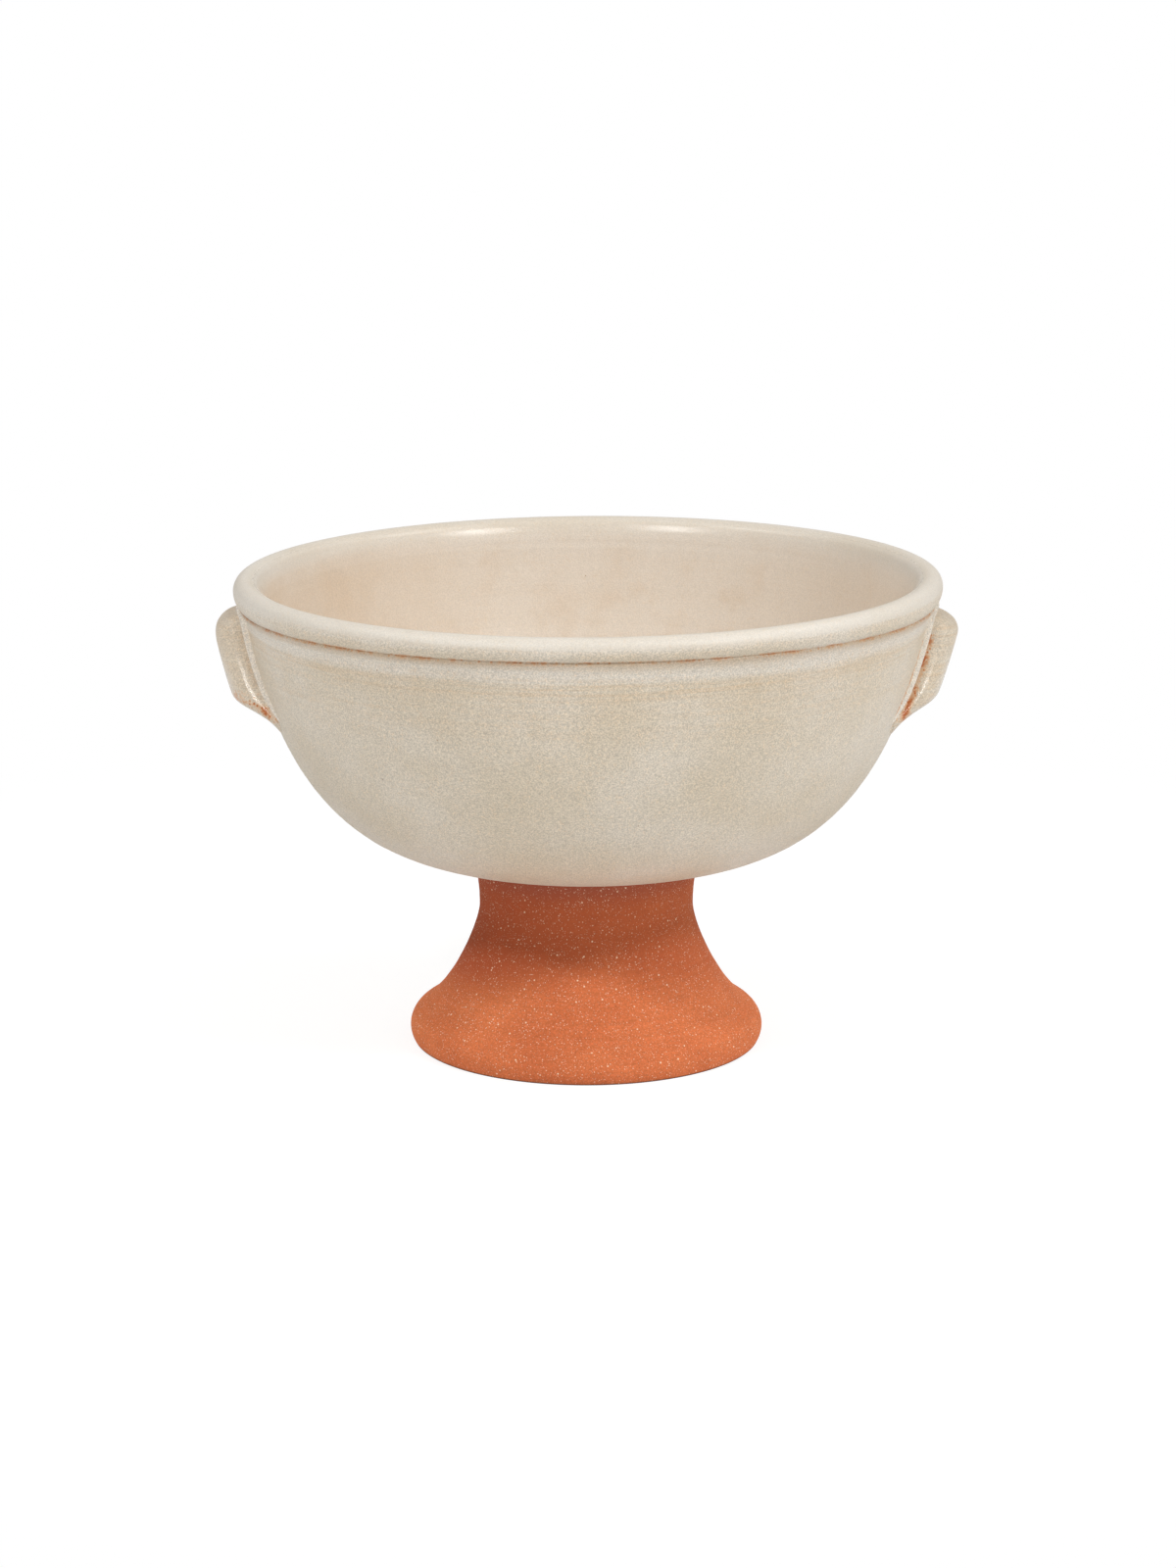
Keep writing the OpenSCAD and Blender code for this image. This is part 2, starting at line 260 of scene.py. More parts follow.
def smooth(value, low=0.0, high=1.0):
    """Rises smoothly from 0 at low to 1 at high."""
    t = np.clip((np.asarray(value, float) - low) / (high - low), 0.0, 1.0)
    return t * t * (3.0 - 2.0 * t)


def bell(value, middle, width):
    """A soft bump, 1 at its middle."""
    return np.exp(-((np.asarray(value, float) - middle) / width) ** 2)


def bezier(a, b, c, d, count):
    """Points on a cubic curve, both ends included."""
    t = np.linspace(0.0, 1.0, count)[:, None]
    u = 1.0 - t
    a, b, c, d = (np.asarray(p, float) for p in (a, b, c, d))
    return u ** 3 * a + 3 * u * u * t * b + 3 * u * t * t * c + t ** 3 * d


def arc(centre, radius, start, end, count):
    """Points on an arc, from one angle to another."""
    turn = np.linspace(start, end, count)
    return np.stack(
        [centre[0] + radius * np.cos(turn), centre[1] + radius * np.sin(turn)], axis=1)


def ripple(along, turn, pitch, seed):
    """Uneven rings of about the given pitch, as fingers leave them on a wheel."""
    draw = np.random.default_rng(seed)
    total = np.zeros(np.broadcast(along, turn).shape)
    for wave in (0.55, 0.8, 1.0, 1.35, 1.9):
        start, drift, lobe = draw.uniform(0.0, FULL_TURN, 3)
        lobes = int(draw.integers(1, 5))
        strength = 0.65 + 0.35 * np.sin(lobes * turn + lobe)
        total += strength * np.sin(FULL_TURN * along / (pitch * wave) + turn + start)
        total += 0.4 * np.sin(FULL_TURN * along / (pitch * wave * 3.1) - turn + drift)
    return total / 5.0


def link_mesh(name, points, faces, marks):
    """A smooth mesh object with its marks for the shader."""
    mesh = bpy.data.meshes.new(name)
    mesh.from_pydata(points.tolist(), [], faces)
    mesh.validate()
    mesh.polygons.foreach_set("use_smooth", np.ones(len(mesh.polygons), bool))
    for mark, values in marks.items():
        layer = mesh.attributes.new(mark, "FLOAT", "POINT")
        layer.data.foreach_set("value", np.ascontiguousarray(values, np.float32))
    mesh.update()
    made = bpy.data.objects.new(name, mesh)
    bpy.context.scene.collection.objects.link(made)
    return made


def grid_faces(rows, columns):
    """Four-sided faces over rows of points, each row closed round on itself."""
    i, j = np.meshgrid(np.arange(rows - 1), np.arange(columns), indexing="ij")
    k = (j + 1) % columns
    faces = np.stack(
        [i * columns + j, i * columns + k, (i + 1) * columns + k, (i + 1) * columns + j], axis=-1)
    return faces.reshape(-1, 4).tolist()


def close_tube(grid):
    """Points and faces of a tube given as rows of points, closed at both ends."""
    rows, loop = grid.shape[:2]
    faces = grid_faces(rows, loop)
    faces.append(list(range(loop))[::-1])
    faces.append([(rows - 1) * loop + j for j in range(loop)])
    return grid.reshape(-1, 3), faces


def on_front(values, back_columns):
    """Marks for the front of a piece, with none on its hidden back."""
    return np.pad(values, ((0, 0), (0, back_columns))).ravel()


def heading(angle):
    """A step of length 1 in a section, at an angle from level."""
    return np.array([math.cos(angle), math.sin(angle)])


def path_length(section):
    """Distance along a section to each of its points."""
    step = np.linalg.norm(np.diff(section, axis=0), axis=1)
    return np.concatenate([[0.0], np.cumsum(step)])


def outward(tangent):
    """Normals of length 1 out of a section, from its tangents."""
    tangent = tangent / np.linalg.norm(tangent, axis=1)[:, None]
    return np.stack([tangent[:, 1], -tangent[:, 0]], axis=1)


def turned(radius, height, turn):
    """Points of a turned skin, ring by ring."""
    rings = [radius * np.cos(turn), radius * np.sin(turn), height]
    return np.stack(rings, axis=-1).reshape(-1, 3)


def place_piece(piece, node, material):
    """Lets a piece stand for its CAD node, ride on the body and take its finish."""
    piece.data.materials.append(material)
    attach(piece, BODY)
    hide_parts(node)


# The bowl's shape


def bowl_curves(size):
    """The bowl's section as named runs of points, each as radius and height."""
    lean, shoulder = size.wall_lean, size.shoulder_angle
    roll = np.array([size.rim_radius - size.roll_radius, size.rim_top - size.roll_radius])
    roll_bottom = roll[1] - size.roll_radius

    def outer_line(z):
        return size.rim_radius - size.wall_inset - (roll_bottom - z) * math.tan(lean)

    def inner_line(z):
        return outer_line(z) - size.wall_thickness / math.cos(lean)

    seat = np.array([size.seat_radius, size.seat_height])
    corner = np.array([outer_line(seat[1]), seat[1]])
    run = size.belly_reach * (corner[0] - seat[0])
    wall_top = roll_bottom - size.crease_height
    outer = bezier(
        seat, seat + run * heading(size.belly_slope), corner, (outer_line(wall_top), wall_top), 110)
    near = np.clip(1.0 - (roll_bottom - outer[:, 1]) / size.cove_height, 0.0, 1.0)
    outer[:, 0] += size.cove_width * near ** 2
    crease = outer[-1, 0] - size.crease_depth
    crease_angle = -math.acos((crease - roll[0]) / size.roll_radius)
    crease_at = roll + size.roll_radius * heading(crease_angle)
    up = np.array([math.sin(lean), math.cos(lean)])
    tuck = bezier(
        outer[-1], outer[-1] + 0.6 * size.crease_height * up,
        crease_at - 0.3 * size.crease_height * up, crease_at, 12)
    floor = size.seat_height + size.floor_thickness
    low_z = roll_bottom - size.shoulder_height
    low = np.array([inner_line(low_z), low_z])
    inner = bezier(
        (0.0, floor), (size.floor_reach * inner_line(floor), floor),
        (inner_line(floor), floor), low, 64)
    around = arc(roll, size.roll_radius, crease_angle, math.pi - shoulder, 44)
    inward = around[:, 0] < roll[0]
    around[inward, 0] = roll[0] + size.roll_spread * (around[inward, 0] - roll[0])
    top = around[-1]
    handle = np.linalg.norm(top - low) / 3.0
    leave = np.array([size.roll_spread * math.sin(shoulder), math.cos(shoulder)])
    slope = bezier(
        low, low + handle * up, top - handle * leave / np.linalg.norm(leave), top, 18)
    return {
        "outer": outer,
        "tuck": tuck[1:],
        "roll": around[1:],
        "shoulder": slope[::-1][1:],
        "inner": inner[::-1][1:],
        "crease": crease_at,
        "outer_line": outer_line,
        "roll_at": roll,
    }


def settle(points, size):
    """The rim's small lean and sway, which fade out down the wall."""
    amount = smooth(points[:, 2], 0.8 * size.rim_top, size.rim_top)
    moved = points.copy()
    moved[:, 0] += size.sway * amount
    moved[:, 2] += math.tan(size.tilt) * points[:, 0] * amount
    moved[:, 2] -= size.back_drop * smooth(points[:, 1], 0.0, size.rim_radius) * amount
    return moved


def glaze_zones(radius, height, crease):
    """Where the glaze on the outside runs thin, lies thick, or breaks to rust, and where painted
    shade lies below the crease.
    """
    drop = crease[1] - height
    tan = (0.8 * bell(drop, 0.5 * MM, 2.2 * MM) + 1.05 * bell(drop, 11.5 * MM, 4.5 * MM)
           + 0.45 * bell(drop, 24.0 * MM, 7.0 * MM) + 0.15 * smooth(drop, 60.0 * MM, 100.0 * MM))
    pool = 0.8 * bell(drop, 5.5 * MM, 2.4 * MM)
    apart = np.hypot(radius - crease[0], drop)
    rust = 0.44 * bell(apart, 0.0, 1.0 * MM)
    # Painted shade: the wall just below the crease is darkened where the roll shades it.
    crease_shade = 0.26 * bell(drop, 1.1 * MM, 1.7 * MM)
    return tan, pool, rust, crease_shade


def make_bowl(settings, material):
    """The bowl as one turned skin, with throwing rings and marks for the glaze."""
    size = settings.bowl
    curves = bowl_curves(size)
    seat = np.linspace(0.0, size.seat_radius, 9)[1:-1]
    runs = [
        np.stack([seat, np.full_like(seat, size.seat_height)], axis=1),
        curves["outer"], curves["tuck"], curves["roll"], curves["shoulder"], curves["inner"][:-1],
    ]
    section = np.concatenate(runs)
    kind = np.concatenate([np.full(len(run), i) for i, run in enumerate(runs)])
    on_wall, on_roll = kind == 1, kind == 3
    outside, inside = kind <= 2, kind >= 4
    along = path_length(section)
    normal = outward(np.gradient(section, axis=0))

    turn = np.linspace(0.0, FULL_TURN, size.segments, endpoint=False)[None, :]
    depth = size.ring_depth * np.select([on_wall | inside, on_roll], [1.0, 0.4], 0.0)
    start = along[on_wall][0]
    fade = smooth(along, start, start + 20.0 * MM)
    relief = (depth * fade)[:, None] * ripple(along[:, None], turn, 7.0 * MM, 11)
    radius = section[:, :1] + relief * normal[:, :1]
    roll_at, crease = curves["roll_at"], curves["crease"]
    under = roll_at[1] - section[:, 1]
    hang = np.select(
        [outside, on_roll],
        [1.0 - smooth(crease[1] - section[:, 1], 0.0, 18.0 * MM),
         np.clip(under / size.roll_radius, 0.0, 1.0)], 0.0)
    height = (section[:, 1:] + relief * normal[:, 1:]
              - size.side_drop * hang[:, None] * np.cos(turn) ** 2)
    points = turned(radius, height, turn)
    poles = np.array([[0.0, 0.0, size.seat_height], [0.0, 0.0, curves["inner"][-1][1]]])
    count, columns = len(points), size.segments
    faces = grid_faces(len(section), columns)
    last = count - columns
    for j in range(columns):
        k = (j + 1) % columns
        faces.append([count, k, j])
        faces.append([last + j, last + k, count + 1])

    def zones(outer, rolled, inner):
        return np.select([outside, on_roll], [outer, rolled], inner)

    tan, pool, rust, crease_shade = glaze_zones(section[:, 0], section[:, 1], crease)
    lean = np.arctan2(section[:, 1] - roll_at[1], section[:, 0] - roll_at[0])
    tan = zones(tan, 0.36 * bell(lean, -0.1, 0.45) + 0.14 * smooth(lean, 0.6, 1.2), 0.1)
    pool = zones(
        pool, 0.66 * smooth(lean, -0.6, 0.4) * (1.0 - 0.45 * smooth(lean, 1.4, 2.2)),
        0.4 * (1.0 - smooth(under, 0.0, 14.0 * MM)))
    within = zones(
        0.0, 0.25 * smooth(lean, 2.0, 2.5), 0.25 + 0.75 * smooth(under, -2.5 * MM, 4.0 * MM))
    # Partly painted bounce light, partly the glaze's warm tone: inside, the glaze is painted
    # lighter than outside, and warmer at its left and right.
    warmth_and_bounce = within[:, None] * (
        smooth(-np.cos(turn), 0.2, 0.9) + 0.45 * smooth(np.cos(turn), 0.4, 0.95))
    marks = {
        "glaze_tan": tan,
        "glaze_pool": pool,
        "glaze_rust": zones(rust, rust, 0.0),
        "glaze_inside": within,
        "glaze_gloss": 0.8 * zones(0.0, smooth(lean, 1.9, 2.4), 1.0),
        "glaze_calm": zones(0.0, smooth(lean, -0.2, 0.4), 1.0),
        "glaze_flash": warmth_and_bounce,
        # Painted shade below the crease under the roll.
        "glaze_stain": zones(crease_shade, 0.0, 0.0),
    }
    for name, values in marks.items():
        values = np.broadcast_to(values.reshape(len(section), -1), (len(section), columns))
        marks[name] = np.append(values.ravel(), [values[0, 0], values[-1].mean()])
    made = link_mesh("thrown_bowl", settle(np.concatenate([points, poles]), size), faces, marks)
    place_piece(made, "bowl", material)
    return made


# The foot's shape


def make_foot(settings, material):
    """The hollow foot as one turned skin, with turning marks."""
    size = settings.foot
    roll = np.array([size.base_radius - size.roll_radius, size.roll_height])
    edge_angle = -math.asin((size.roll_height - size.bevel) / size.roll_radius)
    edge = roll + size.roll_radius * heading(edge_angle)
    waist = np.array([size.waist_radius, size.height - size.waist_drop])
    collar = np.array([size.collar_radius, size.height])
    leave = roll + size.roll_radius * heading(size.flare_angle)
    rise = waist[1] - leave[1]
    flare = bezier(
        leave,
        leave + size.flare_start * rise * np.array(
            [-math.sin(size.flare_angle), math.cos(size.flare_angle)]),
        waist - np.array([0.0, size.flare_end * rise]), waist, 64)
    neck = bezier(
        waist, waist + np.array([0.0, size.waist_drop / 2]),
        (waist[0] + (collar[0] - waist[0]) / 2, size.height - size.waist_drop / 4), collar, 24)
    ring_edge = edge[0] - size.bevel
    mouth = np.array([ring_edge - size.ring_width, 0.0])
    throat = waist - np.array([size.wall_thickness, 0.0])
    hollow = bezier(
        mouth, mouth + np.array([0.0, leave[1]]), throat - np.array([0.0, rise / 2]), throat, 32)
    ring = np.stack([np.linspace(mouth[0], ring_edge, 8), np.zeros(8)], axis=1)
    bevel = bezier(
        ring[-1], ring[-1] + np.array([0.5 * size.bevel, 0.0]),
        edge - np.array([0.1 * size.bevel, 0.4 * size.bevel]), edge, 6)
    lip = np.stack(
        [np.linspace(collar[0], collar[0] - size.wall_thickness, 6), np.full(6, size.height)],
        axis=1)
    shaft = np.stack(
        [np.linspace(lip[-1][0], throat[0], 8), np.linspace(lip[-1][1], throat[1], 8)], axis=1)
    runs = [
        ring[1:], bevel[1:], arc(roll, size.roll_radius, edge_angle, size.flare_angle, 30)[1:],
        flare[1:], neck[1:], lip[1:], shaft[1:], hollow[::-1][1:],
    ]
    section = np.concatenate(runs)
    kind = np.concatenate([np.full(len(run), i) for i, run in enumerate(runs)])
    closed = np.concatenate([section[-1:], section, section[:1]])
    normal = outward(closed[2:] - closed[:-2])
    along = path_length(section)
    turn = np.linspace(0.0, FULL_TURN, size.segments, endpoint=False)[None, :]
    shown = (kind >= 2) & (kind <= 4)  # the base roll, the flare and the neck
    start, end = along[shown][0], along[shown][-1]
    fade_length = 6.0 * MM
    fade = shown * smooth(along, start, start + fade_length) * (
        1.0 - smooth(along, end - fade_length, end))
    relief = (size.turning_depth * fade)[:, None] * (
        ripple(along[:, None], turn, 3.2 * MM, 23)
        + 1.4 * ripple(along[:, None], turn, 11.0 * MM, 5))
    radius = section[:, :1] + relief * normal[:, :1]
    height = section[:, 1:] + relief * normal[:, 1:]
    columns, rows = size.segments, len(section)
    faces = grid_faces(rows, columns)
    last = (rows - 1) * columns
    faces += [[last + j, last + (j + 1) % columns, (j + 1) % columns, j] for j in range(columns)]
    high = section[:, 1:] + 0.0 * turn
    # Painted shadow of the bowl on the neck, partly its darker clay: it reaches lower at the sides
    # and is darker at the left.
    shadow_edge_high = high + 13.0 * MM * np.cos(turn) ** 2
    marks = {
        "clay_neck_and_shadow": smooth(shadow_edge_high, waist[1] - 27.0 * MM, waist[1] - 8.0 * MM)
        * (1.0 - 0.36 * np.cos(turn)),
        # Painted shade close under the bowl, in a purple-brown tint.
        "clay_collar_shade": smooth(high, waist[1] + 6.0 * MM, size.height),
        # Painted shadow where the foot meets the table, round its lower edge.
        "clay_edge_shadow": 1.0 - smooth(high, 0.3 * MM, 0.9 * MM),
    }
    marks = {name: values.ravel() for name, values in marks.items()}
    made = link_mesh("turned_foot", turned(radius, height, turn), faces, marks)
    place_piece(made, "pedestal_foot", material)
    return made


# The lugs and their seam coils


class LugForm:
    """The form of one lug on the bowl's wall, worked out at +X; the left one is then mirrored."""

    def __init__(self, settings, side):
        self.size = s = settings.lugs
        curves = bowl_curves(settings.bowl)
        outer = curves["outer"]
        top = curves["roll_at"][1]
        self.wall_z = np.append(outer[:, 1], top)
        self.wall_r = np.append(outer[:, 0], curves["outer_line"](top))
        self.crease = curves["crease"]
        at = 1 if side > 0 else 0
        self.top, self.proud, self.fall = s.top[at], s.proud[at], s.fall[at]
        self.crown, self.crown_power, self.tail = s.crown[at], s.crown_power[at], s.tail[at]
        self.bottom = self.top - s.height

    def off_wall(self, z, around, out):
        """Points out of the wall, at heights on it and at arc lengths round from +X."""
        r = np.interp(z, self.wall_z, self.wall_r)
        reach = 2.0 * MM
        slope = np.interp(z + reach, self.wall_z, self.wall_r) - np.interp(
            z - reach, self.wall_z, self.wall_r)
        norm = np.hypot(2.0 * reach, slope)
        q = r + out * 2.0 * reach / norm
        turn = around / r
        return np.stack([q * np.cos(turn), q * np.sin(turn), z - out * slope / norm], axis=-1)

    def spine(self, z):
        """Share of the lug's full height along its spine."""
        t = np.clip((z - self.top + self.crown) / self.crown, 0.0, 1.0)
        crown = (1.0 - t ** self.crown_power) ** (1.0 / self.crown_power)
        fall = 1.0 - self.fall * (self.top - z) / self.size.height
        return crown * fall * smooth(z, self.bottom, self.bottom + self.tail)

    def reach(self, z):
        """Half the width over the coils."""
        s = self.size
        t = np.clip((self.top - z) / (s.height - s.coil_rise), 0.0, 1.0)
        return (s.top_width + (s.tail_width - s.top_width) * t ** 1.5) / 2

    def half_width(self, z):
        """Half the width of the lug inside its coils."""
        s = self.size

        def corner(depth):
            t = np.clip(1.0 - depth / s.corner_height, 0.0, 1.0)
            return (1.0 - np.sqrt(1.0 - t * t)) * s.corner_width / 2

        return (self.reach(z) - s.coil_width - s.coil_gap
                - corner(self.top - z) - corner(np.maximum(z - self.bottom, 0.0)))

    def section(self, z, turn):
        """The section across the lug, as shares of its half width and of its rise."""
        rounded = 2.3
        tail = smooth(z, self.bottom + 4.0 * MM, self.bottom + 20.0 * MM)
        power = (rounded + (self.size.fullness - rounded) * tail)[:, None]
        across, up = np.cos(turn)[None, :], np.sin(turn)[None, :]
        reach = (np.abs(across) ** power + np.abs(up) ** power) ** (-1.0 / power)
        return across * reach, up * reach


def make_lug(settings, side, material):
    """One lug; its skirt and back lie inside the bowl's wall."""
    form = LugForm(settings, side)
    s = form.size
    rows, back_columns = 96, 9
    low = form.bottom - 6.0 * MM
    z = low + (form.top - low) * np.sin(0.5 * math.pi * np.linspace(0.0, 1.0, rows))
    turn = np.linspace(math.pi, 0.0, 81)
    hem = np.linspace(1.0, 0.0, 7)[:-1]
    span, lift = form.section(z, turn)
    flat = np.zeros((rows, len(hem)))
    span = np.concatenate([flat - 1.0, span, flat + 1.0], axis=1)
    lift = np.concatenate([flat, np.maximum(lift, 0.0), flat], axis=1)
    skirt = np.concatenate([-hem, np.zeros(len(turn)), hem[::-1]])
    sunk = 0.7 * MM
    ends = smooth(z, low, form.bottom + 3.0 * MM) * np.sqrt(
        np.clip((form.top - z) / (0.8 * MM), 0.0, 1.0))
    full = form.proud - s.edge
    body = form.half_width(z) - 0.6 * MM
    width = body + 1.8 * MM + 2.5 * MM * bell(z, form.bottom, 1.5 * MM)
    out = (-sunk + (s.edge + sunk) * ends[:, None] * ((1.0 - skirt ** 2) ** 0.4)[None, :]
           + full * form.spine(z)[:, None] * lift)
    around = span * body[:, None] + skirt[None, :] * (width - body)[:, None]
    front = form.off_wall(np.repeat(z[:, None], len(skirt), axis=1), around, out)
    back = form.off_wall(
        np.repeat(z[:, None], back_columns, axis=1),
        np.linspace(1.0, -1.0, back_columns)[None, :] * width[:, None],
        np.repeat(np.minimum(out[:, :1], -sunk), back_columns, axis=1))
    points, faces = close_tube(np.concatenate([front, back], axis=1))

    crown = 1.0 - smooth(z, form.top - 9.0 * MM, form.top - 4.0 * MM)
    # The groove beside the coil is painted tan, partly glaze breaking and partly painted shade; the
    # left lug's faint rust there is painted shade, the right lug's is rust.
    groove_break_and_shade = bell(out, 2.6 * MM, 1.5 * MM) * crown[:, None]
    above = z[:, None] - form.bottom
    if side > 0:
        rust = groove_break_and_shade * smooth(above, 2.0 * MM, 7.0 * MM) * (
            0.65 + 0.5 * bell(above, 10.0 * MM, 4.0 * MM))
    else:
        heel = bell(above, 6.5 * MM + 9.0 * MM * lift, 4.0 * MM)
        rust = 0.12 * groove_break_and_shade + heel * (0.4 + 0.32 * bell(lift, 0.25, 0.25))
    gloss = smooth(above[:, 0], 4.0 * MM, 10.0 * MM) * (
        1.0 - smooth(z, form.top - 19.0 * MM, form.top - 11.0 * MM))
    thin, flushed = (0.8, 0.0) if side > 0 else (0.55, 0.35)
    marks = {
        "glaze_rust": on_front(rust, back_columns),
        "glaze_tan": on_front(thin + 0.4 * groove_break_and_shade, back_columns),
        "glaze_gloss": np.repeat(gloss, len(points) // rows),
        "glaze_inside": np.full(len(points), flushed),
    }
    points = points * np.array([side, 1.0, 1.0])
    if side < 0:
        faces = [face[::-1] for face in faces]
    name = "lug_right" if side > 0 else "lug_left"
    made = link_mesh("pressed_" + name, points, faces, marks)
    place_piece(made, name, material)
    return made


def make_coil(settings, side, end, material):
    """One seam coil, thumbed down on to the wall, at the front or the back of a lug."""
    form = LugForm(settings, side)
    s = form.size
    rows, columns, back_columns = 96, 33, 3
    low = form.bottom + s.coil_rise - 3.0 * MM
    high = form.crease[1] - 0.3 * MM
    t = np.linspace(0.0, 1.0, rows)
    z = low + (high - low) * t
    swell = np.sqrt(smooth(t, 0.0, 0.35)) * (0.75 + 0.35 * t) * (1.0 - 0.4 * smooth(t, 0.92, 1.0))
    across = np.concatenate([np.linspace(-1.2, 1.0, 20), np.linspace(1.0, 2.8, 14)[1:]])
    profile = bell(across, 0.0, 0.8)
    sunk = 0.2 * MM
    out = -sunk + (s.coil_height + sunk) * swell[:, None] * profile[None, :]
    half = 0.5 * s.coil_width * (0.55 + 0.45 * swell)
    middle = form.reach(z) - 0.5 * s.coil_width
    around = -(middle[:, None] + across[None, :] * half[:, None])
    front = form.off_wall(np.repeat(z[:, None], columns, axis=1), around, out)
    back = form.off_wall(
        np.repeat(z[:, None], back_columns, axis=1),
        around[:, [-1, columns // 2, 0]], np.full((rows, back_columns), -2.0 * sunk))
    points, faces = close_tube(np.concatenate([front, back], axis=1))
    seam = bell(across, -1.0, 0.4) + 0.75 * bell(across, 1.3, 0.35)
    iron, flushed = (1.0, 0.0) if side > 0 else (0.35, 0.45)
    rust = iron * seam[None, :] * (0.55 + 0.4 * bell(t, 0.2, 0.2)[:, None])
    pool = 0.6 * bell(across, 0.2, 0.9)[None, :] + 0.0 * out
    marks = {
        "glaze_rust": on_front(rust, back_columns),
        "glaze_pool": on_front(pool, back_columns),
        "glaze_gloss": np.ones(len(points)),
        "glaze_inside": np.full(len(points), flushed),
    }
    points = points * np.array([side, end, 1.0])
    if side * end > 0:
        faces = [face[::-1] for face in faces]
    name = f"seam_coil_{'right' if side > 0 else 'left'}_{'front' if end > 0 else 'back'}"
    made = link_mesh("thumbed_" + name, settle(points, settings.bowl), faces, marks)
    place_piece(made, name, material)
    return made


# Materials


def add(tree, kind, inputs=None, **choices):
    """A shader node with its choices made and its inputs set or linked."""
    made = tree.nodes.new(kind)
    for key, value in choices.items():
        setattr(made, key, value)
    for key, value in (inputs or {}).items():
        if isinstance(value, NodeSocket):
            tree.links.new(value, made.inputs[key])
        else:
            made.inputs[key].default_value = value
    return made


def opaque(value):
    """A colour setting with its alpha."""
    return (*value, 1.0)


def mix(tree, amount, first, second, how="MIX"):
    """One colour mixed with another."""
    made = add(tree, "ShaderNodeMix", {0: amount, 6: first, 7: second}, data_type="RGBA",
               blend_type=how, clamp_factor=True)
    return made.outputs[2]


def calc(tree, how, first, second):
    """A sum on two numbers."""
    return add(tree, "ShaderNodeMath", {0: first, 1: second}, operation=how).outputs[0]


def times(tree, first, second):
    """One number times another."""
    return calc(tree, "MULTIPLY", first, second)


def grey(tree, value):
    """A number as a grey colour."""
    return add(tree, "ShaderNodeCombineColor", {0: value, 1: value, 2: value}).outputs[0]


def spread(tree, value, low, high, start=0.0, end=1.0):
    """A number carried smoothly from one range to another."""
    return add(tree, "ShaderNodeMapRange",
               {"Value": value, "From Min": low, "From Max": high, "To Min": start, "To Max": end},
               interpolation_type="SMOOTHSTEP").outputs[0]


def noise(tree, place, scale, detail=2.0, rough=0.5):
    """Cloudy noise at a scale given in waves per metre."""
    return add(tree, "ShaderNodeTexNoise",
               {"Vector": place, "Scale": scale, "Detail": detail, "Roughness": rough}).outputs[0]


def stretched(tree, place, scale):
    """The place, scaled by its own amount on each axis."""
    return add(tree, "ShaderNodeMapping", {"Vector": place, "Scale": scale}).outputs[0]


def grains(tree, place, scale, size, soft, keep):
    """Round grains of a size in metres, kept in a share of the cells they are sown in."""
    cells = add(tree, "ShaderNodeTexVoronoi", {"Vector": place, "Scale": scale})
    chance = add(tree, "ShaderNodeSeparateColor", {0: cells.outputs["Color"]})
    near = spread(tree, cells.outputs["Distance"], size * scale * soft, size * scale, 1.0, 0.0)
    kept = spread(tree, chance.outputs[0], 1.0 - keep - 0.02, 1.0 - keep + 0.02)
    return times(tree, near, kept)


def mark(tree, name):
    """A mark that the mesh carries."""
    return add(tree, "ShaderNodeAttribute", attribute_name=name).outputs["Fac"]


def new_material(name):
    """An empty node material with its output node."""
    made = bpy.data.materials.new(name)
    made.use_nodes = True
    made.node_tree.nodes.clear()
    return made, made.node_tree, made.node_tree.nodes.new("ShaderNodeOutputMaterial")


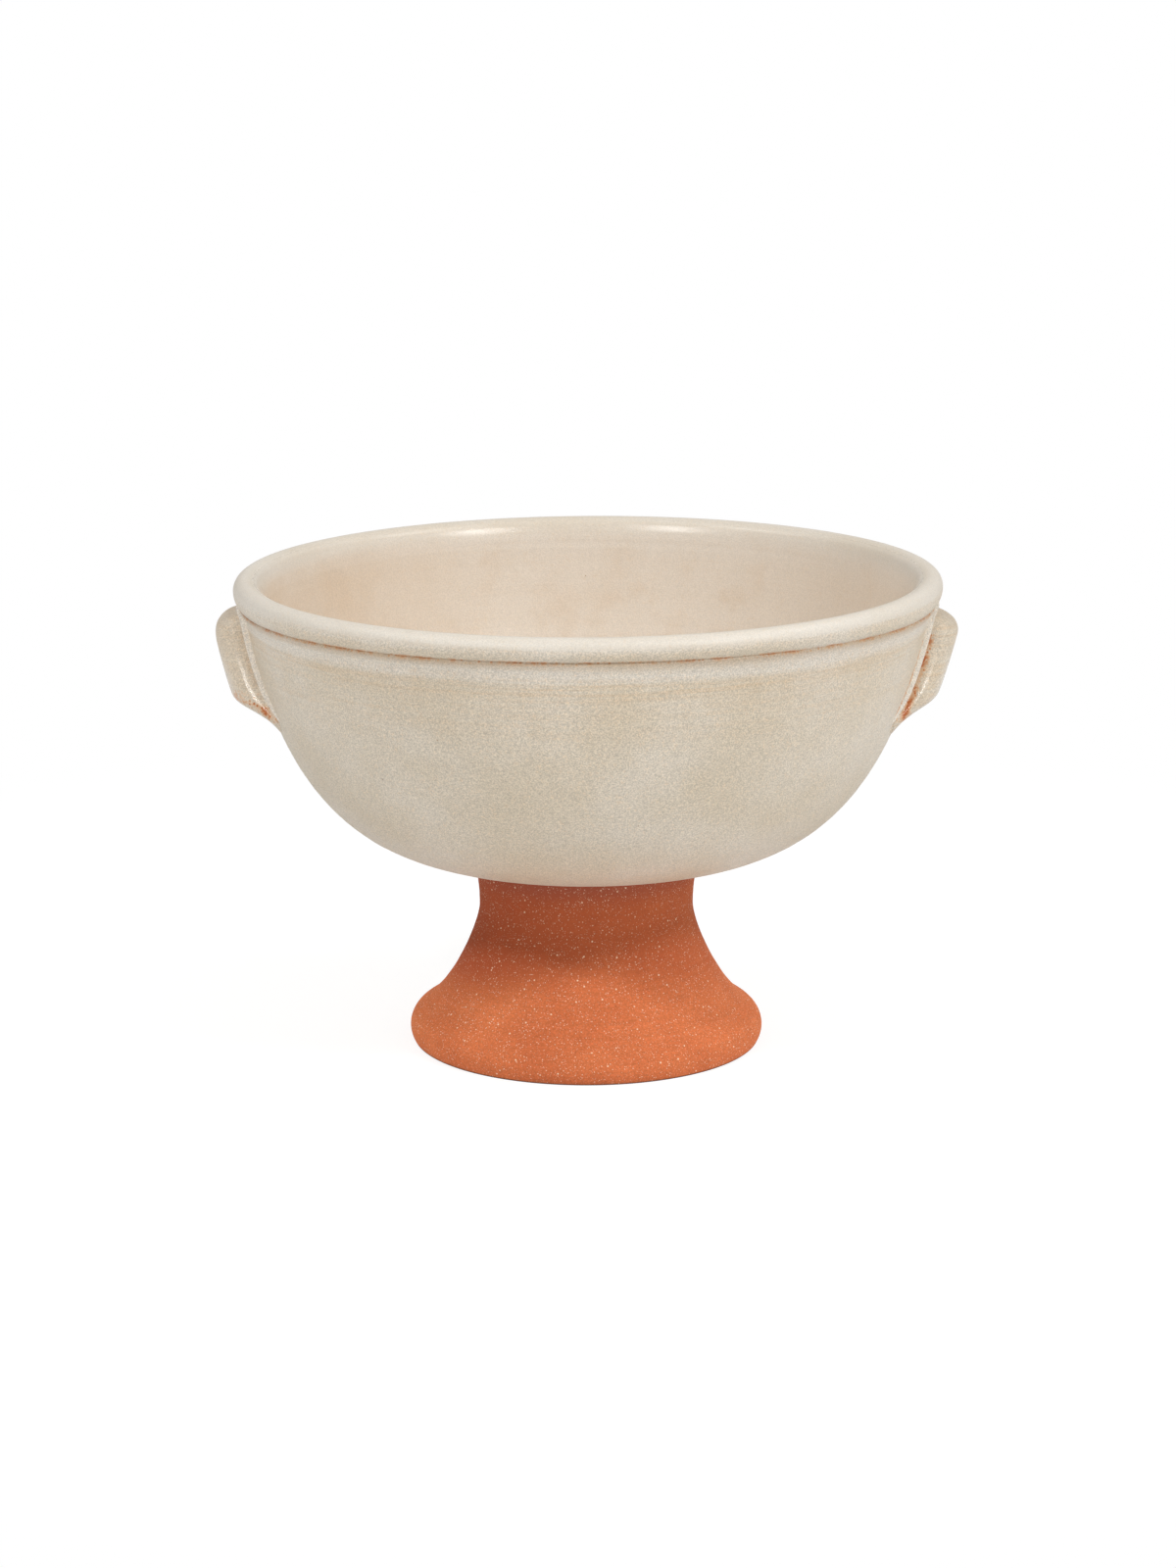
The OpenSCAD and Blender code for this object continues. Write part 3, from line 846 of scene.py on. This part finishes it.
def glaze_material(look):
    """Satin cream glaze: mottled, streaked where it ran, rusty where it breaks, with painted shade
    below the crease and painted bounce light inside.
    """
    known = bpy.data.materials.get("cream_glaze")
    if known:
        return known
    made, tree, output = new_material("cream_glaze")
    place = add(tree, "ShaderNodeTexCoord").outputs["Object"]
    cloud = noise(tree, place, 24.0, 3.0, 0.55)
    mottle = noise(tree, place, 420.0, 3.0, 0.6)
    peel = noise(tree, place, 900.0, 2.0, 0.5)
    fine = noise(tree, place, 1900.0, 2.0, 0.55)
    streak = noise(tree, stretched(tree, place, (14.0, 14.0, 850.0)), 1.0, 4.0, 0.65)
    blotch = noise(tree, place, 150.0, 3.0, 0.6)
    warm = noise(tree, place, 42.0, 4.0, 0.6)
    within = mark(tree, "glaze_inside")
    calm = mark(tree, "glaze_calm")

    body = mix(tree, spread(tree, cloud, 0.3, 0.7), opaque(look.cream),
               opaque([0.6 * a + 0.4 * b for a, b in zip(look.cream, look.pale)]))
    warmth_and_bounce = times(tree, mark(tree, "glaze_flash"), spread(tree, warm, 0.3, 0.7, 0.4, 0.8))
    warmth_and_bounce = calc(tree, "MAXIMUM", warmth_and_bounce, spread(tree, warm, 0.46, 0.72, 0.0, 0.45))
    # Partly painted bounce light, partly warm tone: the inside takes the lighter blush, with warmer
    # peach at its left and right.
    body = mix(tree, within, body, mix(tree, warmth_and_bounce, opaque(look.blush), opaque(look.peach)))
    pool = times(tree, mark(tree, "glaze_pool"), spread(tree, mottle, 0.1, 0.5, 0.55, 1.0))
    body = mix(tree, pool, body, opaque(look.pale))
    ran = times(tree, spread(tree, streak, 0.36, 0.66), spread(tree, blotch, 0.25, 0.65, 0.5, 1.0))
    tan = times(tree, mark(tree, "glaze_tan"), ran)
    body = mix(tree, times(tree, tan, 0.75), body, opaque(look.tan))
    fleck = times(tree, spread(tree, blotch, 0.3, 0.6), spread(tree, peel, 0.5, 0.72, 0.0, 0.45))
    fleck = times(tree, fleck, spread(tree, calm, 0.0, 1.0, 1.0, 0.5))
    body = mix(tree, fleck, body, opaque(look.tan))
    grain = times(tree, spread(tree, fine, 0.3, 0.7, 0.78, 1.17),
                  spread(tree, peel, 0.3, 0.7, 0.93, 1.06))
    body = mix(tree, spread(tree, calm, 0.0, 1.0, 1.0, 0.35), body, grey(tree, grain), "MULTIPLY")
    patch = spread(tree, noise(tree, place, 130.0, 3.0, 0.65), 0.42, 0.58)
    spots = grains(tree, place, 650.0, 0.75 * MM, 0.4, 0.55)
    bare = calc(tree, "MAXIMUM", times(tree, patch, spread(tree, peel, 0.3, 0.55)), spots)
    breaks = mark(tree, "glaze_rust")
    iron = calc(tree, "ADD", times(tree, bare, 0.5), breaks)
    seen = spread(tree, breaks, 0.05, 0.2)
    body = mix(tree, times(tree, seen, spread(tree, iron, 0.3, 0.85, 0.0, 0.75)),
               body, opaque(look.amber))
    body = mix(tree, times(tree, seen, spread(tree, iron, 0.65, 1.15)), body, opaque(look.rust))
    specks = grains(tree, place, 95.0, 0.4 * MM, 0.5, 0.4)
    # Umber paints the iron specks and, below the crease, painted shade.
    specks_and_shade = calc(tree, "MAXIMUM", times(tree, specks, 0.75), mark(tree, "glaze_stain"))
    body = mix(tree, specks_and_shade, body, opaque(look.umber))

    relief = calc(tree, "ADD", fine, times(tree, peel, 0.25))
    bump = add(tree, "ShaderNodeBump", {"Strength": 0.6, "Distance": 0.12 * MM, "Height": relief})
    rough = times(tree, spread(tree, mottle, 0.3, 0.7, 0.85, 1.15), spread(
        tree, mark(tree, "glaze_gloss"), 0.0, 1.0, look.satin, look.gloss))
    skin = add(tree, "ShaderNodeBsdfPrincipled", {
        "Base Color": body, "Roughness": rough, "Normal": bump.outputs[0], "IOR": 1.5,
        "Specular IOR Level": 0.42})
    tree.links.new(skin.outputs[0], output.inputs[0])
    return made


def clay_material(look, name, bright, deep):
    """Bare fired clay: matte, grainy, with pale grog, pits and faint turning lines, and painted
    shade in the pits, on the neck, under the bowl and round the lower edge.
    """
    known = bpy.data.materials.get(name)
    if known:
        return known
    made, tree, output = new_material(name)
    place = add(tree, "ShaderNodeTexCoord").outputs["Object"]
    tone = noise(tree, place, 34.0, 4.0, 0.6)
    grain = noise(tree, place, 1300.0, 3.0, 0.65)
    lines = noise(tree, stretched(tree, place, (7.0, 7.0, 800.0)), 1.0, 3.0, 0.6)
    body = mix(tree, spread(tree, tone, 0.2, 0.8), opaque(deep), opaque(bright))
    grain_tone = times(tree, spread(tree, grain, 0.3, 0.7, 0.85, 1.13),
                  spread(tree, lines, 0.3, 0.7, 0.96, 1.03))
    body = mix(tree, 1.0, body, grey(tree, grain_tone), "MULTIPLY")
    # Painted shadow of the bowl on the neck, partly the neck's darker clay.
    body = mix(tree, times(tree, mark(tree, "clay_neck_and_shadow"), 0.7), body, opaque(look.neck))
    # Painted shade close under the bowl.
    body = mix(tree, times(tree, mark(tree, "clay_collar_shade"), 0.75), body, opaque(look.collar))
    grog = grains(tree, place, 300.0, 0.45 * MM, 0.5, 0.5)
    small = times(tree, grains(tree, place, 750.0, 0.27 * MM, 0.5, 0.8), 0.9)
    dust = times(tree, grains(tree, place, 1500.0, 0.15 * MM, 0.5, 0.8), 0.7)
    pale = calc(tree, "MAXIMUM", grog, calc(tree, "MAXIMUM", small, dust))
    body = mix(tree, pale, body, opaque(look.grog))
    # Painted shade in the pits, which are also cut into the bump.
    pits_and_shade = grains(tree, stretched(tree, place, (1.0, 1.0, 1.6)), 520.0, 0.3 * MM, 0.4, 0.5)
    body = mix(tree, times(tree, pits_and_shade, 0.45), body, opaque(look.pit_shade))
    # Painted shadow round the foot's lower edge, where it meets the table.
    body = mix(tree, times(tree, mark(tree, "clay_edge_shadow"), 0.9), body, opaque(look.edge))
    relief = calc(tree, "ADD", times(tree, grain, 0.6), times(tree, lines, 0.5))
    relief = calc(tree, "ADD", relief, times(tree, pale, 0.3))
    relief = calc(tree, "SUBTRACT", relief, times(tree, pits_and_shade, 0.8))
    bump = add(tree, "ShaderNodeBump", {"Strength": 0.7, "Distance": 0.22 * MM, "Height": relief})
    rough = spread(tree, grain, 0.3, 0.7, look.roughness - 0.08, look.roughness + 0.06)
    skin = add(tree, "ShaderNodeBsdfPrincipled", {
        "Base Color": body, "Roughness": rough, "Normal": bump.outputs[0],
        "Diffuse Roughness": 0.4, "Specular IOR Level": 0.1})
    tree.links.new(skin.outputs[0], output.inputs[0])
    return made


def floor_material():
    """White table paper: it keeps a soft shadow by the foot and is plain white far off."""
    made, tree, output = new_material("white_paper")
    place = add(tree, "ShaderNodeTexCoord").outputs["Object"]
    away = add(tree, "ShaderNodeVectorMath", {0: place}, operation="LENGTH").outputs["Value"]
    near, far = 0.10, 0.55
    fibre = noise(tree, place, 900.0)
    paper = mix(tree, spread(tree, fibre, 0.3, 0.7), opaque([0.88] * 3), opaque([0.92] * 3))
    lit = add(tree, "ShaderNodeBsdfDiffuse", {"Color": paper}).outputs[0]
    plain = add(tree, "ShaderNodeEmission", {
        "Color": WHITE, "Strength": spread(tree, away, near, far, 1.15, 1.0)}).outputs[0]
    seen = add(tree, "ShaderNodeLightPath").outputs["Is Camera Ray"]
    amount = times(tree, seen, spread(tree, away, near, far, 0.7, 1.0))
    both = add(tree, "ShaderNodeMixShader", {0: amount, 1: lit, 2: plain}).outputs[0]
    tree.links.new(both, output.inputs[0])
    return made


def light_world(scene, around, overhead, lopsided):
    """Soft light, weaker from above and from the left, with plain white behind the object."""
    world = bpy.data.worlds.new("soft_room")
    world.use_nodes = True
    tree = world.node_tree
    tree.nodes.clear()
    output = tree.nodes.new("ShaderNodeOutputWorld")
    ray = add(tree, "ShaderNodeTexCoord").outputs["Generated"]
    way = add(tree, "ShaderNodeSeparateXYZ", {0: ray}).outputs
    strength = times(tree, spread(tree, way[2], 0.0, 1.0, around, overhead),
                     spread(tree, way[0], -1.0, 1.0, 1.0 - lopsided, 1.0 + lopsided))
    soft = add(tree, "ShaderNodeBackground", {0: (1.0, 0.985, 0.96, 1.0), 1: strength}).outputs[0]
    white = add(tree, "ShaderNodeBackground", {0: WHITE, 1: 1.0}).outputs[0]
    seen = add(tree, "ShaderNodeLightPath").outputs["Is Camera Ray"]
    both = add(tree, "ShaderNodeMixShader", {0: seen, 1: soft, 2: white}).outputs[0]
    tree.links.new(both, output.inputs[0])
    scene.world = world


# Operators


class COMPOTE_OT_bowl(Operator):
    """Throw the bowl and glaze it"""
    bl_idname = "compote.bowl"
    bl_label = "Throw bowl"

    def execute(self, context):
        settings = context.scene.compote
        make_bowl(settings, glaze_material(settings.glaze))
        return {"FINISHED"}


class COMPOTE_OT_foot(Operator):
    """Turn the hollow pedestal foot in bare clay"""
    bl_idname = "compote.foot"
    bl_label = "Turn foot"

    def execute(self, context):
        settings = context.scene.compote
        clay = settings.clay
        make_foot(settings, clay_material(clay, "bare_terracotta", clay.bright, clay.deep))
        return {"FINISHED"}


class COMPOTE_OT_lugs(Operator):
    """Press the two lugs on to the wall"""
    bl_idname = "compote.lugs"
    bl_label = "Press lugs"

    def execute(self, context):
        settings = context.scene.compote
        for side in (-1.0, 1.0):
            make_lug(settings, side, glaze_material(settings.glaze))
        return {"FINISHED"}


class COMPOTE_OT_coils(Operator):
    """Lay the four coils along the seams of the lugs"""
    bl_idname = "compote.coils"
    bl_label = "Lay seam coils"

    def execute(self, context):
        settings = context.scene.compote
        for side in (-1.0, 1.0):
            for end in (1.0, -1.0):
                make_coil(settings, side, end, glaze_material(settings.glaze))
        return {"FINISHED"}


class COMPOTE_OT_slip(Operator):
    """Finish the slip in the luted joints"""
    bl_idname = "compote.slip"
    bl_label = "Finish slip"

    def execute(self, context):
        clay = context.scene.compote.clay
        slip = clay_material(clay, "fired_slip", clay.slip, [0.8 * c for c in clay.slip])
        for node in ("foot_slip_ring", "lug_slip_left", "lug_slip_right"):
            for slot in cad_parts[node].material_slots:
                slot.material = slip
        return {"FINISHED"}


class COMPOTE_OT_stage(Operator):
    """Set up the camera, the lamps and the floor"""
    bl_idname = "compote.stage"
    bl_label = "Set stage"

    def execute(self, context):
        scene, look = context.scene, context.scene.compote.stage
        scene.view_settings.view_transform = "Standard"
        camera = bpy.data.objects.new("camera", bpy.data.cameras.new("camera"))
        camera.data.lens = look.lens
        camera.data.sensor_width = 36.0
        camera.location = look.camera
        camera.rotation_euler = (
            Euler((0.5 * math.pi - look.look_down, 0.0, 0.0)).to_matrix()
            @ Matrix.Rotation(look.roll, 3, "Z")).to_euler()
        scene.collection.objects.link(camera)
        scene.camera = camera
        aim = Vector((0.0, 0.0, look.aim))
        aside = math.radians(90.0)
        for name, turn, rise, power, side in (
                ("lamp_right", look.right_turn, look.right_rise, look.right_lamp, look.right_side),
                ("lamp_left", look.left_turn, look.left_rise, look.left_lamp, look.left_side),
                ("panel_right", aside, look.side_rise, look.right_panel, look.panel_side),
                ("panel_left", -aside, look.side_rise, look.left_panel, look.panel_side)):
            lamp = bpy.data.lights.new(name, "AREA")
            lamp.shape, lamp.size, lamp.energy = "SQUARE", side, power
            lamp.color = (1.0, 0.99, 0.97)
            holder = bpy.data.objects.new(name, lamp)
            out = Vector((math.cos(rise) * math.sin(turn), -math.cos(rise) * math.cos(turn),
                          math.sin(rise)))
            holder.location = aim + out * look.lamp_distance
            holder.rotation_euler = (-out).to_track_quat("-Z", "Y").to_euler()
            scene.collection.objects.link(holder)
        light_world(scene, look.ambient, look.overhead, look.lopsided)
        corners = FLOOR_HALF * np.array([(-1, -1, 0), (1, -1, 0), (1, 1, 0), (-1, 1, 0)])
        floor = link_mesh("paper_floor", corners, [[0, 1, 2, 3]], {})
        floor.data.materials.append(floor_material())
        return {"FINISHED"}


class COMPOTE_PT_panel(Panel):
    """The steps of the compote, in the order they are made"""
    bl_label = "Footed compote bowl"
    bl_idname = "COMPOTE_PT_panel"
    bl_space_type = "VIEW_3D"
    bl_region_type = "UI"
    bl_category = "Compote"

    def draw(self, context):
        settings = context.scene.compote
        for operator, group in STEPS:
            box = self.layout.box()
            box.operator(operator.bl_idname)
            part = getattr(settings, group)
            for name in part.__annotations__:
                box.prop(part, name)


STEPS = (
    (COMPOTE_OT_stage, "stage"),
    (COMPOTE_OT_bowl, "bowl"),
    (COMPOTE_OT_foot, "foot"),
    (COMPOTE_OT_lugs, "lugs"),
    (COMPOTE_OT_coils, "glaze"),
    (COMPOTE_OT_slip, "clay"),
)
CLASSES = (
    CompoteBowl, CompoteFoot, CompoteLugs, CompoteGlaze, CompoteClay, CompoteStage, CompoteSettings,
    *(operator for operator, _ in STEPS), COMPOTE_PT_panel,
)


def register():
    """Adds the classes and the settings to Blender."""
    for made in CLASSES:
        bpy.utils.register_class(made)
    bpy.types.Scene.compote = PointerProperty(type=CompoteSettings)


def unregister():
    """Takes the settings and the classes out again."""
    del bpy.types.Scene.compote
    for made in reversed(CLASSES):
        bpy.utils.unregister_class(made)


def main():
    """Makes the stage and every piece."""
    register()
    bpy.ops.compote.stage()
    bpy.ops.compote.bowl()
    bpy.ops.compote.foot()
    bpy.ops.compote.lugs()
    bpy.ops.compote.coils()
    bpy.ops.compote.slip()


if __name__ == "__main__":
    main()
